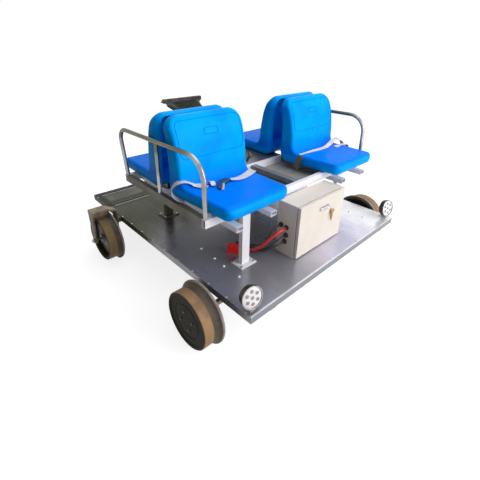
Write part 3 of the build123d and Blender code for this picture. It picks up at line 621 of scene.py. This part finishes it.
def lofted(stations, power=5.0, sides=24, steps=8):
    """Bar of rounded sections through stations of (x, y, z, half width, half height, way across as x, y, z).

    A section is |p / half width| ** power + |q / half height| ** power = 1, with p along the way across and
    q square to it and to the line. Returns its points, faces and (length along, place across) in metres.
    """
    rows = smooth_rows(stations, steps)
    middle = rows[:, :3]
    along = unit(np.gradient(middle, axis=0))
    across = rows[:, 5:8] - along * np.sum(rows[:, 5:8] * along, axis=1, keepdims=True)
    across = unit(across)
    upward = np.cross(along, across)
    angle = 2 * np.pi * np.arange(sides) / sides
    p = np.sign(np.cos(angle)) * np.abs(np.cos(angle)) ** (2 / power)
    q = np.sign(np.sin(angle)) * np.abs(np.sin(angle)) ** (2 / power)
    points = (middle[:, None] + across[:, None] * (rows[:, 3, None] * p)[..., None]
              + upward[:, None] * (rows[:, 4, None] * q)[..., None])
    run = np.concatenate([[0.0], np.cumsum(np.linalg.norm(np.diff(middle, axis=0), axis=1))])
    cloth = np.stack([run[:, None] + 0 * p, rows[:, 3, None] * p], axis=-1) * MM
    flat, faces = capped(points)
    return flat, faces, cloth.reshape(-1, 2)


def placed(shape, origin, x_way, y_way):
    """Shape moved to an origin, with its X and Y turned to two square ways."""
    x_axis = unit(np.array(x_way, dtype=float))
    y_axis = unit(np.array(y_way, dtype=float))
    axes = np.stack([x_axis, y_axis, np.cross(x_axis, y_axis)])
    return shape[0] @ axes + np.array(origin, dtype=float), shape[1]


def together(shapes):
    """One shape from several."""
    counts = np.cumsum([0] + [len(shape[0]) for shape in shapes])
    faces = [[int(i + count) for i in face] for shape, count in zip(shapes, counts) for face in shape[1]]
    return np.vstack([shape[0] for shape in shapes]), faces


CREASE_DEGREES = 35


def add_piece(name, shape, finish, body="chassis"):
    """Smooth mesh piece that rides on a body, from a shape in millimetres with heights above the deck.

    Its creases stay sharp. The third part of a shape, where it has one, is the UV of its cloth.
    """
    points = shape[0] * MM + np.array([0, 0, DECK_TOP])
    data = bpy.data.meshes.new(name)
    data.from_pydata(points.tolist(), [], shape[1])
    if len(shape) > 2:
        layer = data.uv_layers.new(name="cloth")
        corners = np.empty(len(data.loops), dtype=np.int32)
        data.loops.foreach_get("vertex_index", corners)
        layer.data.foreach_set("uv", shape[2][corners].astype(np.float32).ravel())
    data.polygons.foreach_set("use_smooth", np.full(len(data.polygons), True))
    data.set_sharp_from_angle(angle=radians(CREASE_DEGREES))
    data.materials.append(MATERIALS[finish])
    piece = add_object(name, data)
    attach(piece, body)


# Fasteners: each row is a joined piece of like heads. Places are (x, y, height above deck) in millimetres.

HEADS = {
    "rivet": turned([(5.2, 0), (5.0, 0.9), (3.8, 1.8), (2.0, 2.3), (0.4, 2.4)], 16),
    "dome": turned([(7.6, 0), (7.4, 1.8), (6.2, 3.8), (4.2, 5.2), (2.0, 5.9), (0.4, 6.0)], 20),
    "hex": turned([(12.5, 0), (12.5, 1.6), (9.4, 1.7), (9.4, 7.0), (8.4, 8.2), (0.5, 8.3)], 6, 15),
    "small_hex": turned([(8.0, 0), (8.0, 1.2), (6.2, 1.3), (6.2, 5.0), (5.4, 5.8), (0.4, 5.9)], 6, 30),
    "gland_nut": turned([(15.0, 0), (15.0, 5.0), (13.6, 6.4), (10.2, 6.6), (10.2, 10.0), (9.4, 11.5),
                         (8.2, 11.6)], 6),
}

# The ways that a shape's own X and Y take, so that its Z points up, ahead, to a side or down

UP = ((1, 0, 0), (0, 1, 0))
AHEAD = ((0, 1, 0), (0, 0, 1))
TO_RIGHT = ((1, 0, 0), (0, 0, 1))
TO_LEFT = ((0, 0, 1), (1, 0, 0))
DOWN = ((0, 1, 0), (1, 0, 0))

AXLE_ABOVE_DECK = AXLE_HIGH - round(DECK_TOP / MM)
RIVET_SIDE = 644
RIVET_END = 792
SILL_Y = 505
POST_XS = (504.5, -192.5)
POST_Y = 408
POST_BOLT_X = 29
POST_BOLT_Y = 42
CONSOLE_X = -600
CONSOLE_BOLT = 46
BASE_PLATE = 6
LAMP_FOOT_X = 770
LAMP_FOOT_PLATE = 3
BEARING_BOLT_X = 66
BEARING_BOTTOM = -87
HUB_NUT_Y = 836
WHEEL_BOLTS_Y = 791
WHEEL_BOLT_CIRCLE = 47
edge_rivets = [(x, s * RIVET_SIDE, 0) for x in range(-737, 764, 125) for s in SIDES]
front_rivets = [(RIVET_END, s * y, 0) for y in (55, 205, 355, 505) for s in SIDES]
rear_rivets = [(-RIVET_END, s * y, 0) for y in (80, 240, 400, 560) for s in SIDES]
sill_screws = [(x, s * SILL_Y, 0) for x in (461, 573, 671) for s in SIDES]
inner_screws = [(x, s * y, 0) for x, y in ((262, 495), (380, 497)) for s in SIDES]
post_bolts = [(x + i * POST_BOLT_X, s * POST_Y + j * POST_BOLT_Y, BASE_PLATE)
              for x in POST_XS for s in SIDES for i in SIDES for j in SIDES]
console_bolts = [(CONSOLE_X + i * CONSOLE_BOLT, j * CONSOLE_BOLT, BASE_PLATE) for i in SIDES for j in SIDES]
lamp_bolts = [(LAMP_FOOT_X, s * LAMP_Y, LAMP_FOOT_PLATE) for s in SIDES]
bearing_bolts = [(FRONT_AXLE_X + i * BEARING_BOLT_X, s * SILL_Y, BEARING_BOTTOM)
                 for i in SIDES for s in SIDES]
gland_nuts = [(560, -195, 167), (596, -195, 163), (597, -195, 119), (592, -195, 79)]
FASTENERS = (
    # name, head, finish, ways, places
    ("deck_edge_rivets", "rivet", "bolt_zinc", UP, edge_rivets + front_rivets + rear_rivets),
    # The sill and inner screws' near white heads are a painted highlight.
    ("sill_screws", "dome", "bolt_painted_highlight", UP, sill_screws + inner_screws),
    ("post_plate_bolts", "small_hex", "bolt_zinc", UP, post_bolts),
    ("console_plate_bolts", "small_hex", "bolt_zinc", UP, console_bolts),
    ("lamp_foot_bolts", "small_hex", "bolt_zinc", UP, lamp_bolts),
    ("bearing_bolts", "hex", "bolt_zinc", DOWN, bearing_bolts),
    ("hub_nut_right", "hex", "bolt_zinc", TO_RIGHT, [(REAR_AXLE_X, -HUB_NUT_Y, AXLE_ABOVE_DECK)]),
    ("hub_nut_left", "hex", "bolt_zinc", TO_LEFT, [(REAR_AXLE_X, HUB_NUT_Y, AXLE_ABOVE_DECK)]),
    ("cable_gland_nuts", "gland_nut", "gland_plastic", TO_RIGHT, gland_nuts),
)


def add_heads(name, head, finish, ways, places, body="chassis"):
    """One piece of like heads, at their places."""
    add_piece(name, together([placed(HEADS[head], place, *ways) for place in places]), finish, body)


for fastener in FASTENERS:
    add_heads(*fastener)

for side, side_name, ways in ((-1, "right", TO_RIGHT), (1, "left", TO_LEFT)):
    wheel_bolts = [(FRONT_AXLE_X + WHEEL_BOLT_CIRCLE * cos(radians(a)), side * WHEEL_BOLTS_Y,
                    AXLE_ABOVE_DECK + WHEEL_BOLT_CIRCLE * sin(radians(a))) for a in (20, 110, 200, 290)]
    add_heads("front_wheel_bolts_" + side_name, "small_hex", "screw_dark", ways, wheel_bolts,
              "front_wheelset")


# Rear hangers: stiffening lips under the front and rear edge of each top plate

LIP_OFFSET = 29.5
LIP_YS = (738, 780, 816)
LIP_HIGH = 60
LIP_HALF_WIDTH = 2.5
LIP_HALF_HEIGHT = 9
for side, side_name in SIDE_NAMES:
    lips = []
    for i in SIDES:
        lip = [(REAR_AXLE_X + i * LIP_OFFSET, side * y, LIP_HIGH, LIP_HALF_WIDTH, LIP_HALF_HEIGHT, 1, 0, 0)
               for y in LIP_YS]
        lips.append(lofted(lip[::side], 8.0, 24, 2)[:2])
    add_piece("hanger_lips_" + side_name, together(lips), "rusty_steel")


# Pale strips along the front and the rear of the recess at the deck's rear

STRIP_XS = (-541, -743)
STRIP_SIDE = 610
STRIP_HIGH = 0.3
STRIP_HALF_WIDTH = 3.0
STRIP_HALF_HEIGHT = 0.7
strip_edges = [[(x, y, STRIP_HIGH, STRIP_HALF_WIDTH, STRIP_HALF_HEIGHT, 1, 0, 0)
                for y in (-STRIP_SIDE, 0, STRIP_SIDE)] for x in STRIP_XS]
add_piece("strip_edges", together([lofted(edge, 4.0, 12, 2)[:2] for edge in strip_edges]), "bolt_zinc")


# Work lamps: a clear front with seven lights in their reflectors. Depths are along the lamp's axis.

LAMP_PLACE = (758, LAMP_Y, 66)
LAMP_TURN = radians(-10)
LAMP_TILT = radians(12)
LENS_DEPTH = 12
LIGHTS_DEPTH = 15
BEZEL_DEPTH = 16
LIGHTS_CIRCLE = 29
LAMP_AHEAD = np.array([cos(LAMP_TILT) * cos(LAMP_TURN), cos(LAMP_TILT) * sin(LAMP_TURN), sin(LAMP_TILT)])
LAMP_ACROSS = np.array([-sin(LAMP_TURN), cos(LAMP_TURN), 0])
LAMP_UPWARD = np.cross(LAMP_AHEAD, LAMP_ACROSS)
LAMP_WAYS = (LAMP_ACROSS, LAMP_UPWARD)
lens = turned([(47.8, 0), (47.8, 1.6), (46, 2.6), (30, 3.4), (0.5, 3.6)], 48)
reflector = turned([(8.6, 0), (8.6, 1.2), (7.8, 1.8), (6.4, 1.4), (4.4, 1.2), (2.8, 2.2), (0.4, 2.6)], 24)
bezel = turned_ring([(48.2, 0), (52.6, 0), (52.8, 0.8), (51.6, 2.0), (49.2, 2.0), (48.2, 1.0)], 48)
spots = [(0.0, 0.0)] + [(LIGHTS_CIRCLE * cos(radians(a)), LIGHTS_CIRCLE * sin(radians(a)))
                        for a in range(30, 390, 60)]
for side, side_name in SIDE_NAMES:
    middle = np.array([LAMP_PLACE[0], side * LAMP_PLACE[1], LAMP_PLACE[2]])
    add_piece("lamp_lens_" + side_name, placed(lens, middle + LENS_DEPTH * LAMP_AHEAD, *LAMP_WAYS),
              "lamp_lens")
    add_piece("lamp_bezel_" + side_name, placed(bezel, middle + BEZEL_DEPTH * LAMP_AHEAD, *LAMP_WAYS),
              "lamp_bezel")
    lights = [placed(reflector, middle + LIGHTS_DEPTH * LAMP_AHEAD + p * LAMP_ACROSS + q * LAMP_UPWARD,
                     *LAMP_WAYS) for p, q in spots]
    add_piece("lamp_lights_" + side_name, together(lights), "lamp_reflector")


# Cabinet lock: its barrel and lever, and two keys on a ring, of which one is in the lock and one hangs

DOOR_FACE = 673
LEVER_HIGH = 240
RING_RADIUS = 12.0
RING_WIRE = 1.1
key_bow = turned_ring([(4.0, 0), (9.0, 0), (10.2, 0.6), (10.2, 1.8), (9.0, 2.4), (4.0, 2.4), (3.2, 1.8),
                       (3.2, 0.6)], 28)
key_blade = plate([(-4, 0), (-4, -14), (-3.2, -16), (-3.2, -40), (-1.5, -46), (0, -48), (1.2, -45),
                   (3.4, -41), (2.2, -38), (3.6, -35), (2.0, -31), (3.4, -27), (3.2, -16), (4, -14),
                   (4, 0)], 2.2)
key_shape = together([key_bow, placed(key_blade, (0, -6, 0.1), (1, 0, 0), (0, 1, 0))])
ring_points = [(RING_RADIUS + RING_WIRE * cos(radians(a)), RING_WIRE * sin(radians(a)))
               for a in range(0, 360, 45)]
key_ring = turned_ring(ring_points, 32)
lean = radians(9)
hanging = placed(key_shape, (DOOR_FACE + 3, 86, 186), (0, cos(lean), sin(lean)), (0, -sin(lean), cos(lean)))
in_lock = placed(key_shape, (DOOR_FACE + 13, 78, 207), (0.55, 0.83, 0), (0, 0, 1))
ring = placed(key_ring, (DOOR_FACE + 7, 84, 197), (0.45, 0.9, 0), (0, 0, 1))
add_piece("cabinet_keys", together([hanging, in_lock, ring]), "key_brass", "door")
barrel = turned([(9.0, 0), (9.0, 2.0), (7.6, 3.6), (6.6, 3.6), (6.4, 2.6), (0.6, 2.6)], 28)
add_piece("lock_barrel", placed(barrel, (DOOR_FACE + 9, 30, LEVER_HIGH), *AHEAD), "lock_chrome", "door")
lever_sections = ((7, 44, 9, 3), (8, 20, 9.6, 3.4), (8, -10, 9.2, 3), (7, -30, 7, 2))
lock_lever = lofted([(DOOR_FACE + out, y, LEVER_HIGH, half_width, half_height, 0, 0, 1)
                     for out, y, half_width, half_height in lever_sections], 3.0)
add_piece("lock_lever", lock_lever[:2], "lock_chrome", "door")


# Seat belts. Straps and buckles are bars of rounded sections, and stations are
# (x, y, above deck, half width, half thickness, way across as x, y, z).

BELTS = (
    # name, finish, stations
    ("near_belt_inner", "pale_webbing",
     ((318, -180, 366, 22, 0.9, 0.95, 0.0, -0.2), (326, -183, 388, 22, 0.9, 0.95, 0.05, -0.2),
      (336, -194, 404, 22, 0.9, 0.95, 0.15, -0.12), (349, -216, 407, 22, 0.9, 0.95, 0.28, -0.06),
      (364, -252, 406, 22, 0.9, 0.95, 0.3, -0.05), (376, -300, 405, 22, 0.9, 0.98, 0.12, 0.0),
      (377, -346, 406, 21, 0.9, 0.97, -0.2, 0.05), (368, -384, 410, 19, 0.9, 0.9, -0.36, 0.15))),
    ("near_belt_outer", "pale_webbing",
     ((301, -610, 338, 20, 1.0, 0.85, -0.53, 0.0), (286, -636, 350, 21, 1.0, 0.85, -0.53, 0.0),
      (275, -654, 372, 22, 1.0, 0.85, -0.53, 0.0), (272, -658, 398, 22, 1.0, 0.85, -0.53, 0.0),
      (279, -648, 422, 22, 1.0, 0.85, -0.53, 0.0), (290, -629, 436, 22, 1.0, 0.88, -0.45, 0.0),
      (298, -604, 437, 22, 1.0, 0.95, -0.3, 0.0), (302, -578, 426, 22, 1.0, 0.9, -0.4, 0.0),
      (312, -556, 413, 22, 1.0, 0.72, -0.7, 0.0), (330, -540, 408, 22, 1.0, 0.5, -0.86, 0.0),
      (350, -530, 407, 20, 1.0, 0.45, -0.9, 0.0), (366, -522, 407, 16, 1.0, 0.45, -0.9, 0.0))),
    ("near_belt_fold", "pale_webbing",
     ((334, -494, 407, 15, 1.0, 0.1, -1.0, 0.2), (342, -489, 417, 15, 1.0, 0.1, -1.0, 0.2),
      (353, -486, 422, 15, 1.0, 0.1, -1.0, 0.2), (365, -487, 418, 15, 1.0, 0.1, -1.0, 0.2),
      (374, -490, 408, 14, 1.0, 0.1, -1.0, 0.2))),
    ("near_belt_end", "pale_webbing",
     ((386, -441, 411, 6, 1.0, 0.6, 0.7, 0.4), (412, -464, 413, 7, 1.0, 0.6, 0.7, 0.4),
      (440, -490, 409, 6, 1.0, 0.6, 0.7, 0.4))),
    ("far_belt_crease", "pale_webbing",
     ((342, 205, 406, 5, 1.0, 0.8, 0.0, -0.6), (345, 262, 406, 5, 1.0, 0.8, 0.0, -0.6),
      (350, 330, 407, 7, 1.0, 0.82, 0.0, -0.55), (358, 400, 408, 9, 1.0, 0.88, 0.1, -0.45),
      (364, 452, 413, 12, 1.0, 0.9, 0.2, -0.38), (360, 500, 425, 13, 1.0, 0.85, 0.3, -0.45),
      (352, 548, 437, 13, 1.0, 0.78, 0.4, -0.55), (350, 584, 441, 12, 1.0, 0.75, 0.4, -0.6),
      (358, 608, 434, 12, 1.0, 0.75, 0.4, -0.6), (372, 624, 414, 12, 1.0, 0.8, 0.3, -0.5),
      (380, 631, 390, 12, 1.0, 0.95, 0.1, -0.2), (384, 632, 362, 12, 1.0, 1.0, 0.0, -0.05))),
    ("far_belt_fold", "pale_webbing",
     ((392, 520, 405, 15, 1.0, 0.5, 0.85, 0.0), (388, 560, 406, 15, 1.0, 0.7, 0.7, 0.0),
      (392, 600, 407, 15, 1.0, 0.9, 0.4, 0.0), (402, 622, 408, 15, 1.0, 1.0, 0.1, -0.1),
      (408, 632, 398, 15, 1.0, 1.0, 0.0, -0.1), (410, 634, 372, 15, 1.0, 1.0, 0.0, 0.0))),
    ("seat_side_strap", "olive_webbing",
     ((368, 190, 404, 20, 0.9, 1, 0, 0), (360, 184, 388, 20, 0.9, 1, 0, -0.1),
      (350, 182, 362, 20, 0.9, 1, 0, -0.1), (343, 182, 338, 20, 0.9, 1, 0, 0),
      (338, 182, 322, 20, 0.9, 1, 0, 0))),
)
for name, finish, stations in BELTS:
    add_piece(name, lofted(stations, power=6.0, sides=16, steps=10), finish)

BUCKLES = (
    # name, finish, stations of a rounded body
    ("near_buckle_body", "buckle_blue_black",
     ((359, -382, 410, 13, 3, 0.9, 0.36, 0), (361, -393, 411, 18, 5, 0.9, 0.36, 0),
      (366, -418, 411, 20, 6, 0.9, 0.42, 0), (374, -440, 411, 19, 5, 0.9, 0.42, 0),
      (380, -454, 409, 13, 3, 0.9, 0.42, 0))),
    ("near_buckle_tongue", "buckle_blue_black",
     ((364, -446, 409, 9, 3, 0.63, 0.77, 0), (376, -456, 410, 13, 4.5, 0.63, 0.77, 0),
      (400, -474, 410, 13, 4.5, 0.63, 0.77, 0), (422, -490, 408, 9, 3, 0.63, 0.77, 0))),
    ("belt_anchor", "latch_olive",
     ((286, -185, 432, 5, 4, 0, 1, 0), (290, -186, 448, 9, 6, 0, 1, 0.1), (300, -186, 462, 10, 8, 0, 1, 0.1),
      (308, -186, 476, 9, 7, 0, 1, 0), (300, -186, 490, 6, 4, 0, 1, 0))),
)
for name, finish, stations in BUCKLES:
    add_piece(name, lofted(stations, power=3.2, sides=28, steps=10)[:2], finish)


# Console: end caps and push buttons on the grab bar

BAR_X = -573
BAR_HIGH = 633
BUTTONS_HIGH = 646
CAP_SECTIONS = ((150, 13.3), (157, 13.3), (160, 11.4))
BUTTON_SECTIONS = ((-11, 5, 1.6), (0, 6, 2.4), (11, 5, 1.6))
bar_caps = []
for side in SIDES:
    cap = [(BAR_X, side * y, BAR_HIGH, radius, radius, 1, 0, 0) for y, radius in CAP_SECTIONS]
    bar_caps.append(lofted(cap[::side], 8.0)[:2])
add_piece("console_bar_caps", together(bar_caps), "gland_plastic")
buttons = []
for y in (-112, -20, 96):
    button = [(BAR_X, y + offset, BUTTONS_HIGH, half_width, half_height, 1, 0, 0)
              for offset, half_width, half_height in BUTTON_SECTIONS]
    buttons.append(lofted(button, 3.0)[:2])
add_piece("console_buttons", together(buttons), "gland_plastic")


# Cables: the route's points are (x, y, height above deck) in millimetres, as in the CAD

CABLES = (
    # name, finish, diameter, far end piece, exit and route
    ("red_cable", "red_jacket", 16, "red_connector",
     ((596, -208, 163), (596, -242, 163), (585, -276, 146), (562, -300, 108), (534, -316, 66),
      (500, -330, 38), (462, -342, 28), (430, -366, 26))),
    ("upper_black_cable", "black_jacket", 10, "black_connector",
     ((597, -208, 119), (597, -236, 119), (582, -257, 97), (556, -270, 64), (527, -277, 36),
      (497, -282.5, 20), (464.7, -292.9, 15))),
    ("lower_black_cable", "black_jacket", 10, "black_connector",
     ((592, -208, 79), (592, -236, 79), (578, -260, 66), (553, -276, 44), (528, -288, 26),
      (501.5, -296.6, 17), (469.3, -307.1, 15))),
    ("rear_black_cable", "black_jacket", 10, "small_connector",
     ((560, -208, 167), (560, -238, 167), (551, -264, 144), (538, -274, 102), (512, -272, 60),
      (476, -266, 32), (438, -268, 14), (408, -282, 9), (382, -306, 9))),
)


def add_cable(name, finish, diameter, plug, route):
    """Round cable on a smooth NURBS line whose control points are the route's."""
    data = bpy.data.curves.new(name + "_flex", "CURVE")
    data.dimensions = "3D"
    data.bevel_depth = diameter * MM / 2
    data.bevel_resolution = 5
    data.resolution_u = 10
    data.use_fill_caps = True
    spline = data.splines.new("NURBS")
    spline.points.add(len(route) - 1)
    places = np.array([(*at(*point), 1.0) for point in route], dtype=np.float32)
    spline.points.foreach_set("co", places.ravel())
    spline.order_u = 3
    spline.use_endpoint_u = True
    data.materials.append(MATERIALS[finish])
    cable = add_object(name + "_flex", data)
    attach(cable, "chassis")
    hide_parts(name)


for cable in CABLES:
    add_cable(*cable)


# Floor, lights and world

FLOOR_HALF = 30.0
FLOOR_GLOW = 0.80
PANEL_LIGHTS = (
    # name, place, target, width, height, watts
    ("key_panel", (3.4, 1.2, 2.6), (0.1, 0.0, 0.6), 2.6, 2.2, 62),
    ("top_panel", (0.0, 0.6, 4.2), (0.0, 0.0, 0.3), 3.0, 3.0, 42),
    ("front_panel", (3.6, 0.9, 0.92), (0.2, -0.1, 0.6), 1.0, 1.7, 36),
)


def seen_directly(tree):
    """1 for camera, glossy and transmission rays, so that metal shows the same background as the camera."""
    ray = add_node(tree, "ShaderNodeLightPath").outputs
    both = math(tree, "ADD", ray["Is Camera Ray"], ray["Is Glossy Ray"], clamp=True)
    return math(tree, "ADD", both, ray["Is Transmission Ray"], clamp=True)


def add_floor():
    """Plain white floor that keeps the soft shadow. Its own glow is seen, but lights nothing."""
    corners = [(x * FLOOR_HALF, y * FLOOR_HALF, 0) for x, y in ((-1, -1), (1, -1), (1, 1), (-1, 1))]
    data = bpy.data.meshes.new("pale_floor")
    data.from_pydata(corners, [], [(0, 1, 2, 3)])
    material, tree, shader = new_material("pale_floor")
    place = add_node(tree, "ShaderNodeTexCoord").outputs["Object"]
    tone = mix(tree, noise(tree, place, 1.5), colour(0.40, 0.40, 0.40), colour(0.43, 0.43, 0.43))
    glow = times(tree, seen_directly(tree), FLOOR_GLOW)
    feed(tree, shader, Base_Color=tone, Roughness=0.9, Emission_Color=colour(1.0, 1.0, 1.0),
         Emission_Strength=glow, Specular_IOR_Level=0.0)
    data.materials.append(material)
    floor = add_object("pale_floor", data)


def light_world():
    """White where it is seen. For light, a sky bright ahead and to the left, and dim and warm behind."""
    world = bpy.data.worlds.new("studio")
    world.use_nodes = True
    bpy.context.scene.world = world
    tree = world.node_tree
    background = tree.nodes["Background"]
    way = add_node(tree, "ShaderNodeTexCoord").outputs["Generated"]
    axes = add_node(tree, "ShaderNodeSeparateXYZ", {0: way}).outputs
    lean = math(tree, "ADD", times(tree, axes["X"], 0.6), times(tree, axes["Y"], 0.6))
    raised = math(tree, "ADD", lean, times(tree, axes["Z"], 0.35))
    glow = ramp(tree, raised, -0.45, 0.85)
    sky = mix(tree, glow, colour(0.10, 0.085, 0.06), colour(0.87, 0.88, 0.94))
    tree.links.new(mix(tree, seen_directly(tree), sky, colour(1.0, 1.0, 1.0)), background.inputs["Color"])
    background.inputs["Strength"].default_value = 1.0


add_camera()
add_floor()
light_world()
for panel in PANEL_LIGHTS:
    add_panel_light(*panel)
bpy.context.scene.view_settings.view_transform = "Standard"
